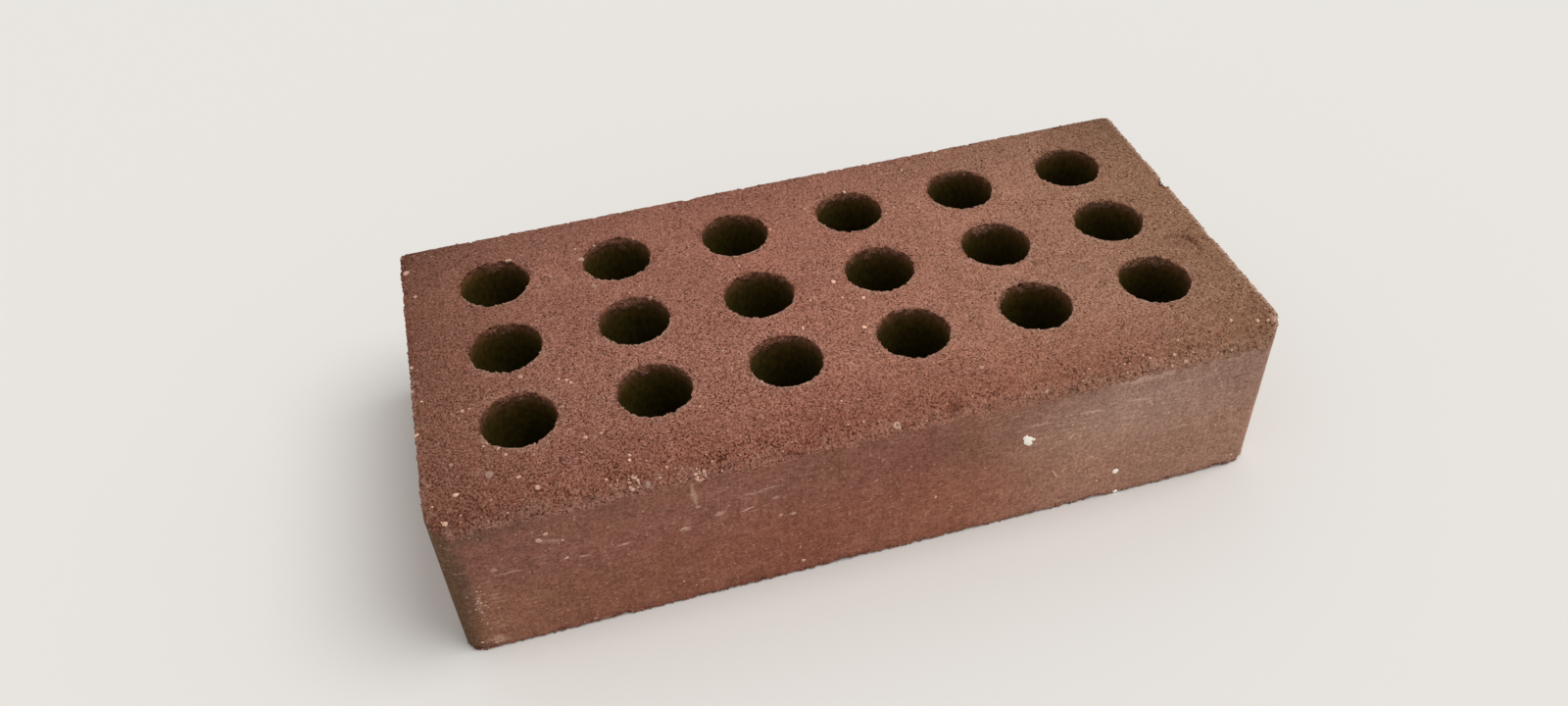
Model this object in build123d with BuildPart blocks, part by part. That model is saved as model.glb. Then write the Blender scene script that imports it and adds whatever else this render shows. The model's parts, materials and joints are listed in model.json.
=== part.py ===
from build123d import *
import os

# A perforated facing brick: one solid piece of fired clay, in millimetres.
# X runs along the brick, Y from its fair face to its back, Z from the lower bed to the upper one.
# The origin is the middle of the lower bed.

# Overall sizes
length = 240.0
width = 114.0
height = 55.0

# Upright corners: rounded beside the fair face, nearly square at the back
left_face_corner_radius = 5.5
right_face_corner_radius = 8.0
back_corner_radius = 2.0

# Upper edge of the fair face, rolled over where the clay was cut
bevel_drop = 5.5
bevel_depth = 5.5
bevel_crease_radius = 6.0

# Worn edges round both beds
arris_radius = 0.8

# Perforations, straight through from bed to bed, in even rows and columns
hole_diameter = 20.7
hole_columns = 6

# Solid clay left between the outermost perforations and each side
face_shell = 20.4
back_shell = 12.8
left_shell = 17.1
right_shell = 15.5

# As many rows as the width holds with webs between them no thinner than this
thinnest_web = 3.0
hole_rows = int((width - face_shell - back_shell + thinnest_web) // (hole_diameter + thinnest_web))

# The rows and columns share out what the shells leave
hole_pitch_x = (length - left_shell - right_shell - hole_diameter) / (hole_columns - 1)
hole_pitch_y = (width - face_shell - back_shell - hole_diameter) / (hole_rows - 1)
hole_middle_x = (left_shell - right_shell) / 2
hole_middle_y = (face_shell - back_shell) / 2

fair_face_y = -width / 2

# A wall is upright when its normal rises less than this
flat_tolerance = 0.001

with BuildPart() as brick:
    # Plan of the brick, with its four upright corners
    with BuildSketch(Plane.XY) as plan:
        Rectangle(length, width)
        left_face_corner = plan.vertices().group_by(Axis.Y)[0].sort_by(Axis.X)[0]
        fillet(left_face_corner, left_face_corner_radius)
        right_face_corner = plan.vertices().group_by(Axis.Y)[0].sort_by(Axis.X)[-1]
        fillet(right_face_corner, right_face_corner_radius)
        back_corners = plan.vertices().group_by(Axis.Y)[-1]
        fillet(back_corners, back_corner_radius)
    extrude(amount=height)

    # The bevel is one slanting cut along the fair face, and fades out in its rounded corners
    bevel_plane = Plane(
        origin=(0, fair_face_y + bevel_depth, height),
        x_dir=(1, 0, 0),
        z_dir=(0, -bevel_drop, bevel_depth),
    )
    split(bisect_by=bevel_plane, keep=Keep.BOTTOM)

    # The crease between the upper bed and the bevel is soft
    upper_bed = brick.faces().filter_by(Plane.XY).sort_by(Axis.Z)[-1]
    crease = upper_bed.edges().filter_by(Axis.X).sort_by(Axis.Y)[0]
    fillet(crease, bevel_crease_radius)

    # Every edge where an upright wall meets a bed or the bevel is worn
    walls = brick.faces().filter_by(lambda face: abs(face.normal_at().Z) < flat_tolerance)
    worn_edges = walls.edges().filter_by(Axis.Z, reverse=True)
    fillet(worn_edges, arris_radius)

    # Perforations
    with BuildSketch(Plane.XY) as perforations:
        with Locations((hole_middle_x, hole_middle_y)):
            with GridLocations(hole_pitch_x, hole_pitch_y, hole_columns, hole_rows):
                Circle(hole_diameter / 2)
    extrude(amount=height, mode=Mode.SUBTRACT)

brick.part.label = "fired_clay_brick"

os.makedirs("parts", exist_ok=True)
export_step(brick.part, "parts/fired_clay_brick.step")

print("volume mm3", round(brick.part.volume))
print("box", brick.part.bounding_box().size)
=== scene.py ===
import json
import math
import random
import bmesh
import bpy
import numpy as np
from mathutils import Matrix, Quaternion, Vector, noise
from mathutils.bvhtree import BVHTree
from mathutils.geometry import delaunay_2d_cdt


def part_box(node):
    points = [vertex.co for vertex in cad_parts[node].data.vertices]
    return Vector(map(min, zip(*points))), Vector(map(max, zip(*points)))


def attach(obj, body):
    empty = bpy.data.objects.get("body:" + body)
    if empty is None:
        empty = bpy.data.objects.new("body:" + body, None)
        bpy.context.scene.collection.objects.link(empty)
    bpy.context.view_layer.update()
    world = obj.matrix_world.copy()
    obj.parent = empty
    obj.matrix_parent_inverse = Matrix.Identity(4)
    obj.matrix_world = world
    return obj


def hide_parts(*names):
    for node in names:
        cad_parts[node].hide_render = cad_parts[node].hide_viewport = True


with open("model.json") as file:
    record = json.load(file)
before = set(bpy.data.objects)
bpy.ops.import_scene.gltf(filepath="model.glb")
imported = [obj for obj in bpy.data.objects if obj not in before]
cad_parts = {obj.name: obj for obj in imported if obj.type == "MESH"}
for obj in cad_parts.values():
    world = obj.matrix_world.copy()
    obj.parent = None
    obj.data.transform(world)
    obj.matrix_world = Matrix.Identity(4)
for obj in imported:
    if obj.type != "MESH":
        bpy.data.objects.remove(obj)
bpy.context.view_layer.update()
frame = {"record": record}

# Sizes are written in millimetres and become metres where a mesh, lamp or camera is made
mm = 0.001
brickNode = "fired_clay_brick"
brickBody = "root"

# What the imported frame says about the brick
low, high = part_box(brickNode)
halfLength = high.x / mm
halfWidth = high.y / mm
height = high.z / mm
mounts = {mount["name"]: mount for mount in frame["record"]["mounts"]}
boreRadius = mounts["front_row_perforation_1"]["dims"]["r_mm"]


def perforationRow(row):
    names = sorted(name for name in mounts if name.startswith(row + "_row_perforation"))
    return [Vector(mounts[name]["pos_m"][:2]) / mm for name in names]


frontRow = perforationRow("front")
backRow = perforationRow("back")
middleRow = [(front + back) / 2 for front, back in zip(frontRow, backRow)]
perforations = frontRow + middleRow + backRow

# Skin of the brick: where its points lie before the clay gets its relief
skin = {
    "leftFaceCorner": 5.5,  # radii of the upright corners
    "rightFaceCorner": 8.0,
    "backCorner": 2.0,
    "cornerPoints": 25,
    "bevelDrop": 5.5,  # rolled-over upper edge of the fair face
    "bevelDepth": 5.5,
    "creaseRadius": 6.0,
    "upperStep": 0.70,  # spacing of the points on the upper bed
    "lowerStep": 1.6,  # and on the lower one
    "footStep": 0.85,  # along the lower arrises
    "wallStep": 2.0,  # half way up the outer faces
    "boreStep": 3.0,  # half way down the perforations
    "rimStep": 0.68,  # round the upper rims of the perforations
    "lowerRimStep": 1.1,
    "boreSwell": 0.25,  # the bores are this much tighter before relief and wear
    "growth": 1.22,  # how much the spacing grows from one row to the next
    "rowRatio": 0.87,  # rows are closer than the points in them by this
    "meeting": 0.6,  # the last rows from both borders meet at this share of the widest spacing
    "clearance": 0.62,  # share of the spacing that a bed's points keep from its edges
    "jitter": 0.24,  # share of the spacing by which a point strays
    "merge": 1e-9,  # points nearer to each other than this are one
    "seed": 11,
}


def outlineCurve():
    # The plan outline, counter-clockwise from the left end of the fair face, and the way walked to each point
    x, y = [], []
    corners = (
        (1, -1, skin["rightFaceCorner"], 270),
        (1, 1, skin["backCorner"], 0),
        (-1, 1, skin["backCorner"], 90),
        (-1, -1, skin["leftFaceCorner"], 180),
    )
    for sideX, sideY, radius, turn in corners:
        angle = np.radians(turn + np.linspace(0, 90, skin["cornerPoints"]))
        x.extend(sideX * (halfLength - radius) + radius * np.cos(angle))
        y.extend(sideY * (halfWidth - radius) + radius * np.sin(angle))
    points = np.column_stack((x + x[:1], y + y[:1]))
    walked = np.concatenate(([0], np.cumsum(np.linalg.norm(np.diff(points, axis=0), axis=1))))
    return points, walked


outlinePoints, outlineWalked = outlineCurve()
perimeter = outlineWalked[-1]


def onOutline(s):
    return [np.interp(s, outlineWalked, outlinePoints[:, axis]) for axis in (0, 1)]


def bedHeight(y):
    # Height of the upper bed and its bevel at a distance y from the middle
    slope = math.atan2(skin["bevelDrop"], skin["bevelDepth"])
    radius = skin["creaseRadius"]
    tangent = radius * math.tan(slope / 2)
    fromFace = np.asarray(y, float) + halfWidth
    bedEnd = skin["bevelDepth"] + tangent
    bevelEnd = skin["bevelDepth"] - tangent * math.cos(slope)
    arc = height - radius + np.sqrt(np.clip(radius ** 2 - (bedEnd - fromFace) ** 2, 0, None))
    bevel = height - skin["bevelDrop"] + fromFace * math.tan(slope)
    return np.where(fromFace >= bedEnd, height, np.where(fromFace >= bevelEnd, arc, bevel))


def gradedRows(top, lowStep, middleStep, highStep):
    # Rows of points that are close together at both borders and wider apart between them
    def climb(step, reach):
        rows = []
        level = 0.0
        while level < reach:
            rows.append((level, step))
            level += step * skin["rowRatio"]
            step = min(step * skin["growth"], middleStep)
        return rows

    lower = climb(lowStep, top / 2)
    upper = climb(highStep, top - lower[-1][0] - middleStep * skin["meeting"])
    return lower + [(top - level, step) for level, step in reversed(upper)]


def wrappedSkin(length, rows, rng):
    # A tube unrolled to a rectangle, filled with triangles and closed at its seam
    points, starts, counts = [], [], []
    for index, (level, step) in enumerate(rows):
        border = index in (0, len(rows) - 1)
        count = round(length / step)
        starts.append(len(points))
        counts.append(count)
        points.append((0.0, level))
        for i in range(1, count):
            if border:
                points.append((i * length / count, level))
                continue
            strayS = rng.uniform(-1, 1) * skin["jitter"]
            strayLevel = rng.uniform(-1, 1) * skin["jitter"] * step
            points.append(((i + strayS) * length / count, level + strayLevel))
    single = len(points)
    points.extend((length, level) for level, step in rows)
    made = delaunay_2d_cdt([Vector(point) for point in points], [], [], 0, skin["merge"])
    twin = list(range(single)) + starts
    triangles = [[twin[i] for i in face] for face in made[2]]
    lowerBorder = list(range(counts[0]))
    upperBorder = list(range(starts[-1], starts[-1] + counts[-1]))
    return np.array(points[:single]), triangles, lowerBorder, upperBorder


def insideOutline(point, clearance):
    # True if the point is inside the rounded plan by at least the clearance
    radius = skin["backCorner"]
    if point.y < 0:
        radius = skin["leftFaceCorner"] if point.x < 0 else skin["rightFaceCorner"]
    overX = abs(point.x) - (halfLength - radius)
    overY = abs(point.y) - (halfWidth - radius)
    if overX > 0 and overY > 0:
        return math.hypot(overX, overY) < radius - clearance
    return overX < radius - clearance and overY < radius - clearance


def bedFilling(loops, step, rng):
    # Jittered points between the outline and the perforations, and the triangles that join them all
    points = [Vector(point) for loop in loops for point in loop]
    owner = [index for index, loop in enumerate(loops) for point in loop]
    outerCount = len(loops[0])
    clearance = skin["clearance"] * step
    stray = skin["jitter"] * step
    rowGap = step * math.sqrt(3) / 2
    y = -halfWidth + clearance
    row = 0
    while y < halfWidth - clearance:
        x = -halfLength + clearance + step / 2 * (row % 2)
        while x < halfLength - clearance:
            point = Vector((x + rng.uniform(-stray, stray), y + rng.uniform(-stray, stray)))
            x += step
            if any((point - middle).length < boreRadius + clearance for middle in perforations):
                continue
            if insideOutline(point, clearance):
                points.append(point)
                owner.append(-1)
        y += rowGap
        row += 1
    edges = [(i, (i + 1) % outerCount) for i in range(outerCount)]
    made = delaunay_2d_cdt(points, edges, [], 1, skin["merge"])
    triangles = []
    for face in made[2]:
        owners = {owner[i] for i in face}
        if len(owners) > 1 or min(owners) <= 0:
            triangles.append(list(face))
    return points, triangles


# How much each edge and rim crumbled as the wire left it; 1 is plain wear
tear = {
    "front": 1.4,
    "left": 1.2,
    "right": 0.8,
    "back": 0.12,
    "nearRim": 1.0,
    "farRim": 2.0,
    "foot": 2.0,  # lower edge of the fair face
}


def rimTear(sine):
    # The wire dragged clay off the far side of each perforation
    return tear["nearRim"] + (tear["farRim"] - tear["nearRim"]) * (0.5 + 0.5 * sine) ** 2


def edgeAndTear(plan):
    # How far each point of a bed is from the nearest edge or rim, and how torn that one is
    x, y = plan[:, 0], plan[:, 1]
    nearest = np.full(len(plan), np.inf)
    torn = np.ones(len(plan))
    gaps = {"left": halfLength + x, "right": halfLength - x, "front": halfWidth + y, "back": halfWidth - y}
    for side, gap in gaps.items():
        torn = np.where(gap < nearest, tear[side], torn)
        nearest = np.minimum(nearest, gap)
    for middle in perforations:
        reach = np.hypot(x - middle.x, y - middle.y)
        gap = reach - boreRadius
        torn = np.where(gap < nearest, rimTear((y - middle.y) / reach), torn)
        nearest = np.minimum(nearest, gap)
    return np.clip(nearest, 0, None), torn


def brickSkin():
    # The closed surface of the brick, its triangles, and what kind of surface each point is on
    rng = random.Random(skin["seed"])
    points, triangles = [], []
    marks = {"upperBed": [], "lowerBed": [], "bore": [], "edge": [], "torn": []}

    def add(places, faces, edge, torn, kind=None):
        points.extend(places)
        triangles.extend(faces)
        marks["edge"].extend(edge)
        marks["torn"].extend(torn)
        for name in ("upperBed", "lowerBed", "bore"):
            marks[name].extend([float(name == kind)] * len(edge))

    wallRows = gradedRows(height, skin["footStep"], skin["wallStep"], skin["upperStep"])
    flat, faces, foot, top = wrappedSkin(perimeter, wallRows, rng)
    x, y = onOutline(flat[:, 0])
    z = flat[:, 1]
    torn = edgeAndTear(np.column_stack((x, y)))[1]
    add(zip(x, y, z / height * bedHeight(y)), faces, np.minimum(z, height - z), torn)

    topLoops, footLoops = [top], [foot]
    boreRows = gradedRows(height, skin["lowerRimStep"], skin["boreStep"], skin["rimStep"])
    for middle in perforations:
        start = len(points)
        flat, faces, foot, top = wrappedSkin(2 * math.pi * boreRadius, boreRows, rng)
        angle = flat[:, 0] / boreRadius
        x = middle.x + (boreRadius - skin["boreSwell"]) * np.cos(angle)
        y = middle.y + (boreRadius - skin["boreSwell"]) * np.sin(angle)
        z = flat[:, 1]
        faces = [[start + i for i in reversed(face)] for face in faces]
        add(zip(x, y, z), faces, np.minimum(z, height - z), rimTear(np.sin(angle)), "bore")
        topLoops.append([start + i for i in top])
        footLoops.append([start + i for i in foot])

    beds = (("upperBed", topLoops, skin["upperStep"]), ("lowerBed", footLoops, skin["lowerStep"]))
    for kind, loops, step in beds:
        known = [i for loop in loops for i in loop]
        filling, faces = bedFilling([[points[i][:2] for i in loop] for loop in loops], step, rng)
        number = known + list(range(len(points), len(points) + len(filling) - len(known)))
        plan = np.array([tuple(point) for point in filling[len(known):]])
        z = bedHeight(plan[:, 1])
        if kind == "lowerBed":
            z = np.zeros(len(plan))
            faces = [list(reversed(face)) for face in faces]
        faces = [[number[i] for i in face] for face in faces]
        add(zip(plan[:, 0], plan[:, 1], z), faces, *edgeAndTear(plan), kind)
        for i in known:
            marks[kind][i] = 1.0
    return np.array(points), triangles, {name: np.array(values, float) for name, values in marks.items()}


# Relief: how deep the clay lies under the true face, so that nothing stands proud of the CAD box
relief = {
    "broad": (45.0, 0.15),  # slow warp of every face: size and depth
    "lump": (5.0, 0.15),  # cut faces only
    "grain": (1.4, 0.24),
    "pitShare": 0.15,  # share of the points of a bed that are pits where pits crowd most
    "pitDepth": (0.25, 0.60),
    "pitCluster": 8.0,
    "bevelTear": 3.2,  # the lower edge of the bevel is torn over this width
    "bevelPits": 0.16,  # and has this many more pits
    "faceRipple": (14.0, 0.05),
    "boreStreak": (2.4, 0.18),
    "boreStretch": 12,  # streaks down a perforation are this much longer than wide
    "wearReach": 2.2,  # how far the wear of an arris or rim reaches
    "leastReach": 0.4,  # and the share of it where nothing was torn
    "wearDepth": 0.20,
    "crumbSize": 1.7,
    "crumbDepth": 0.85,
    "crumbTear": 1.3,  # tear above this makes the wear wider, but its crumbs no deeper
    "chipSize": 8.0,
    "chipDepth": 1.5,
    "chipLevel": 0.30,  # the noise above which an arris has lost a chip
    "deepest": 1.5,  # hollows are drawn darker by depth, as painted shade and dirt, down to this one
    "skinBreak": 3.2,  # the smooth skin of the fair face breaks off up to this far below the bevel
    "rimBreak": (0.3, 4.5),  # torn clay reaches this far down the near and the far side of a perforation
    "ragged": (6.0, 2.4, 0.9),  # sizes of the noise that makes both lines ragged
    "raggedFrom": 0.36,  # its value where they reach least, and how far above that they reach most
    "raggedSpan": 0.28,
    "nearShare": 0.12,  # a rim counts as a near one up to this share of a far rim's extra tear
    "highlightInset": 4.0,  # rims within this of the left, right and back edges get no painted highlight
    "rimHighlight": (0.5, 0.52),  # painted highlight along the near rims: width and strength
    "arrisHighlight": (1.1, 0.75),  # painted highlight along the right arris
    "cornerSheen": (3.0, 0.85),  # painted sheen on the round of the right upright corner
    "paleBroken": 0.14,  # broken skin is a little paler
    "tornBore": 0.45,  # how much of the painted shade down a perforation its torn clay has
    "gritInset": (3, 4),  # pale specks are commonest within this of the left edge and of the front
    "gritElsewhere": 0.10,  # their share anywhere else on the beds
    "footHeight": 3,  # burrs grow along the arrises up to this height
    "shifts": {  # keep one noise from following another
        "lump": Vector((40, 0, 0)), "crowd": Vector((0, 90, 0)), "crumb": Vector((7, 3, 5))},
    "seed": 23,
}

# Single marks of handling: chips and pits along the edges, and an imprint on the upper bed
scars = {
    "dents": (  # x, y, z, radius and depth of each chip or pit
        (119.6, 16.4, 55.0, 2.8, 1.2), (-119.4, 50.4, 55.0, 1.7, 0.9), (-119.6, 38.6, 55.0, 1.9, 0.9),
        (-79.0, -56.6, 50.2, 2.0, 0.9), (-47.6, -55.4, 51.0, 1.2, 0.8), (-28.0, 56.6, 55.0, 2.2, 0.5),
        (20.6, -54.0, 52.4, 3.0, 0.5), (114.0, -57.0, 3.0, 1.3, 0.8), (-114.8, -54.4, 52.0, 1.6, 0.8),
    ),
    "rough": (0.6, 0.8, 1.5),  # least share of a dent's depth, what noise adds, and the size of that noise
    "ring": (107.7, -15.4, 6.0, 0.8, 0.95),  # x, y, radius, width, and depth at its far right side
}


def unitNoise(point, size):
    # Noise from 0 to 1 with bumps of about that size
    return 0.5 + 0.5 * noise.noise(point / size)


def scarDepth(point, upper):
    depth = 0.0
    least, more, size = scars["rough"]
    for x, y, z, radius, deep in scars["dents"]:
        away = (point - Vector((x, y, z))).length / radius
        if away < 1:
            depth = max(depth, deep * (1 - away ** 2) * (least + more * unitNoise(point, size)))
    if upper:
        x, y, radius, width, deep = scars["ring"]
        away = abs(math.hypot(point.x - x, point.y - y) - radius) / width
        pressed = min(1.0, max(0.0, 0.5 + (point.y - y + point.x - x) / (2 * radius)))
        depth += deep * pressed * max(0.0, 1 - away ** 2)
    return depth


def clayDepth(point, upper, cut, bore, edge, torn, rng):
    # Depth of the clay under the true face, and the part of it that is a hollow
    def bumps(kind, place):
        size, deep = relief[kind]
        return deep * unitNoise(place, size)

    shifts = relief["shifts"]
    depth = bumps("broad", point)
    hollow = scarDepth(point, upper)
    if cut:
        depth += bumps("lump", point + shifts["lump"])
        depth += bumps("grain", point)
        share = relief["pitShare"] * unitNoise(point + shifts["crowd"], relief["pitCluster"]) ** 2
        if upper:
            share += relief["bevelPits"] * max(0.0, 1 - (point.y + halfWidth) / relief["bevelTear"])
        if rng.random() < share:
            hollow += rng.uniform(*relief["pitDepth"])
    elif bore:
        depth += bumps("boreStreak", Vector((point.x, point.y, point.z / relief["boreStretch"])))
    else:
        depth += bumps("faceRipple", point)
    if point.z < height / 2 and point.y < relief["wearReach"] - halfWidth:
        torn = tear["foot"]
    least = relief["leastReach"]
    wear = max(0.0, 1 - edge / (relief["wearReach"] * (least + (1 - least) * torn)))
    if wear:
        crumb = max(0.0, noise.noise(point / relief["crumbSize"] + shifts["crumb"]))
        chip = max(0.0, noise.noise(point / relief["chipSize"]) - relief["chipLevel"])
        crumbTear = min(torn, relief["crumbTear"]) if cut or bore else torn
        depth += wear ** 2 * relief["wearDepth"] * torn
        hollow += wear * relief["crumbDepth"] * crumb * crumbTear
        if not bore:
            depth += wear * relief["chipDepth"] * min(torn, 1.0) * chip / (1 - relief["chipLevel"])
    return depth + hollow, hollow


def linkedObject(name, data):
    made = bpy.data.objects.new(name, data)
    bpy.context.scene.collection.objects.link(made)
    return made


def meshObject(name, points, faces):
    mesh = bpy.data.meshes.new(name)
    mesh.from_pydata([tuple(point) for point in points], [], faces)
    mesh.validate()
    return linkedObject(name, mesh)


def vertexVectors(mesh, name):
    values = np.zeros(len(mesh.vertices) * 3, np.float32)
    mesh.vertices.foreach_get(name, values)
    return values.reshape(-1, 3)


def storeMark(mesh, name, values):
    attribute = mesh.attributes.new(name, "FLOAT", "POINT")
    attribute.data.foreach_set("value", np.asarray(values, np.float32))


def brickBodyPiece():
    points, triangles, marks = brickSkin()
    upperBed, lowerBed, bore, edge, torn = marks.values()
    body = meshObject("clay_brick_body", points * mm, triangles)
    normals = vertexVectors(body.data, "normal")
    rng = random.Random(relief["seed"])
    cut = np.maximum(upperBed, lowerBed)
    depths = np.array([
        clayDepth(Vector(point), *values, rng)
        for point, *values in zip(points, upperBed, cut, bore, edge, torn)
    ])

    # Torn clay ends in ragged lines: below the bevel, and down the far side of the perforations
    ragged = np.array([
        sum(unitNoise(Vector(point), size) for size in relief["ragged"]) / len(relief["ragged"])
        for point in points
    ])
    ragged = np.clip((ragged - relief["raggedFrom"]) / relief["raggedSpan"], 0, 1)
    isBore = bore > 0
    upperHalf = points[:, 2] > height / 2
    farShare = np.clip((torn - tear["nearRim"]) / (tear["farRim"] - tear["nearRim"]), 0, 1)
    rimNear, rimFar = relief["rimBreak"]
    broken = (points[:, 1] < 0) & upperHalf & ~isBore & (edge < relief["skinBreak"] * ragged)
    tornRim = isBore & (edge < (rimNear + (rimFar - rimNear) * farShare) * ragged)

    # Painted highlights: the near rims, the right arris and the right upright corner are drawn paler, as
    # where light catches them
    offLeft, offRight = halfLength + points[:, 0], halfLength - points[:, 0]
    offFront, offBack = halfWidth + points[:, 1], halfWidth - points[:, 1]
    width, strength = relief["rimHighlight"]
    inField = np.minimum(np.minimum(offRight, offLeft), offBack) > relief["highlightInset"]
    nearRim = inField & (farShare < relief["nearShare"]) & (edge < width)
    pale = strength * (nearRim & (isBore | (upperBed > 0)) & upperHalf)
    width, strength = relief["arrisHighlight"]
    pale = np.maximum(pale, strength * (~isBore & upperHalf & (offRight < width) & (edge < width)))
    width, strength = relief["cornerSheen"]
    cornerSheenShare = np.clip((skin["rightFaceCorner"] - offFront) / width, 0, 1) * np.clip(width - offRight, 0, 1)
    pale = np.maximum(pale, strength * cornerSheenShare * ~isBore)
    # broken skin below the bevel is a little paler in its own colour
    pale = np.maximum(pale, relief["paleBroken"] * broken)

    # Where single pale grains are commonest: along the bevel and the left edge
    nearLeft, nearFront = relief["gritInset"]
    common = upperBed * ((offLeft < nearLeft) | (offFront < nearFront))
    crumbly = np.clip(1 - edge / relief["wearReach"], 0, 1) * (1 - bore) * np.minimum(torn, 1)

    points = points - normals * depths[:, :1]
    body.data.vertices.foreach_set("co", (points * mm).astype(np.float32).ravel())
    body.data.shade_smooth()
    stored = {
        "cut": np.maximum(cut, broken | tornRim),
        "bore": bore * np.where(tornRim, relief["tornBore"], 1.0),
        "pale": pale,
        "upperBed": upperBed,
        "lowerBed": lowerBed,
        "crumbly": crumbly,
        "foot": crumbly * (points[:, 2] < relief["footHeight"]),
        "gritty": np.maximum(common, relief["gritElsewhere"] * cut),
        "tornRim": tornRim & upperHalf,
        # depth of each hollow, by which the clay is drawn darker as painted shade and dirt
        "hollow": np.clip(depths[:, 1], 0, relief["deepest"]),
    }
    for name, values in stored.items():
        storeMark(body.data, name, values)
    body.data.update()
    print("body", len(points), "points", len(triangles), "triangles")
    return body


def linearColour(code):
    # An sRGB hex colour as the linear values that Blender's sockets take
    parts = [int(code[i:i + 2], 16) / 255 for i in (1, 3, 5)]
    linear = [part / 12.92 if part <= 0.04045 else ((part + 0.055) / 1.055) ** 2.4 for part in parts]
    return (*linear, 1.0)


def addNode(tree, kind, links=None, output=0, **settings):
    # Adds a node and gives one of its outputs; links gives each input a value or another node's output, and
    # a kind without the word Node in it is a shader node
    node = tree.nodes.new(kind if "Node" in kind else "ShaderNode" + kind)
    for name, value in settings.items():
        setattr(node, name, value)
    for socket, value in (links or {}).items():
        if isinstance(value, bpy.types.NodeSocket):
            tree.links.new(value, node.inputs[socket])
        else:
            node.inputs[socket].default_value = value
    return node.outputs[output] if node.outputs else None


# Fired clay: a dull red-brown body. The beds are wire-cut, so they are torn, sandy and full of small dark
# pits. The outer faces slid along the die, so they are smooth, with drag streaks and scratches.
clay = {
    "bedAlong": (  # from the left end to the right one, as a share of the length; darker towards both ends, partly clay tone and partly painted shade
        (0.00, "#7d5242"), (0.16, "#996757"), (0.45, "#a36c5b"), (0.62, "#a7725f"), (0.85, "#a47661"),
        (1.00, "#906a52")),
    "faceHigh": (  # upper half of the fair face
        (0.00, "#835749"), (0.35, "#8c5d4d"), (0.55, "#865848"), (0.66, "#8f6554"), (0.80, "#9a7768"),
        (1.00, "#9a7768")),
    "faceLow": (
        (0.00, "#8b5e4c"), (0.40, "#8d5847"), (0.60, "#945f4c"), (0.75, "#a27664"), (1.00, "#a37c6a")),
    "bevelTint": (0.82, 0.74, 0.71),  # the rolled-over edge is denser, darker and browner
    "boreShadeByDepth": (  # colour of the perforations by depth in mm: painted shade, darker the deeper they go
        (0.0, "#8a5843"), (1.0, "#744a33"), (2.5, "#5e4125"), (5.0, "#463513"), (9.0, "#3a2f0a"),
        (27.0, "#352d06")),
    # dark pits and specks, and the painted shade and dirt of the deeper hollows
    "pitAndShadeColour": "#582a17",
    "paleColour": "#d6b19c",  # scratches and specks of lime, and the painted highlights on the near rims, the right arris and the right corner
    "cornerShadeColour": "#634936",  # painted shade: the round of the left upright corner turns away from the light and is drawn darker
    "stainColour": "#655040",  # olive
    "plumTint": (1.0, 0.975, 1.05),  # the upper left of the fair face leans to purple
    "sandDark": (0.61, 0.435, 0.30),  # what the darkest and the lightest sand do to a colour
    "sandLight": (1.41, 1.65, 1.76),
    "skinDark": (0.70, 0.61, 0.54),
    "skinLight": (1.30, 1.42, 1.47),
    "waver": 1.6,  # mm by which the outline of a mark wavers
    "markCore": 0.35,  # share of a mark's width that has its full strength
    "speckRim": (0.6, 1.3),  # a speck fades out between these shares of its radius
    "bump": 0.9,  # mm
    "pitBump": -0.5,  # a fine pit sinks by this share of that
    "specular": 0.10,  # sandy and matt
    "roughness": 0.93,
}
noiseLow, noiseHigh = 0.3, 0.7  # a noise texture hardly leaves this range

# Noise that the clay is painted from: size across and upright in mm, and detail
clayNoise = {
    "cloud": (18, 18, 2.0),
    "wander": (3, 3, 2.0),  # bends the outlines of the marks
    "sandGrain": (0.45, 0.45, 2.0),
    "skinGrain": (0.65, 0.65, 2.0),
    "grain": (0.8, 0.8, 3.0),  # breaks up pale and dark marks
    "streak": (7, 0.5, 2.0),
    "region": (15, 15, 1.0),
    "cluster": (7, 7, 2.0),
    "pits": (0.72, 0.72, 1.0),
}

# Patterns that darken and lighten the clay: the same, then least and most shade, and where
clayPatterns = {
    "firingPatch": (26, 26, 3.0, 0.93, 1.07, "whole"),
    "blotch": (2.8, 2.8, 2.0, 0.93, 1.07, "cut"),
    "coarseSand": (1.2, 1.2, 2.0, 0.88, 1.12, "cut"),
    "skinCloud": (7, 5, 3.0, 0.91, 1.09, "skin"),
    "skinMottle": (1.6, 1.3, 2.0, 0.90, 1.10, "skin"),
    "dragAlong": (14, 0.9, 2.0, 0.97, 1.03, "skin"),
    "dragUpright": (0.8, 14, 2.0, 0.92, 1.08, "skin"),
    "boreMottle": (1.3, 2.2, 3.0, 0.65, 1.35, "bore"),
}

# Small round specks: spacing in mm, share of the places that have one, and radius in mm
claySpecks = {
    "faceSpecks": (1.9, 0.50, 0.28),
    "freckleSpecks": (1.2, 0.55, 0.36),
    "bedSpecks": (1.9, 0.32, 0.30),
}
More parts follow.
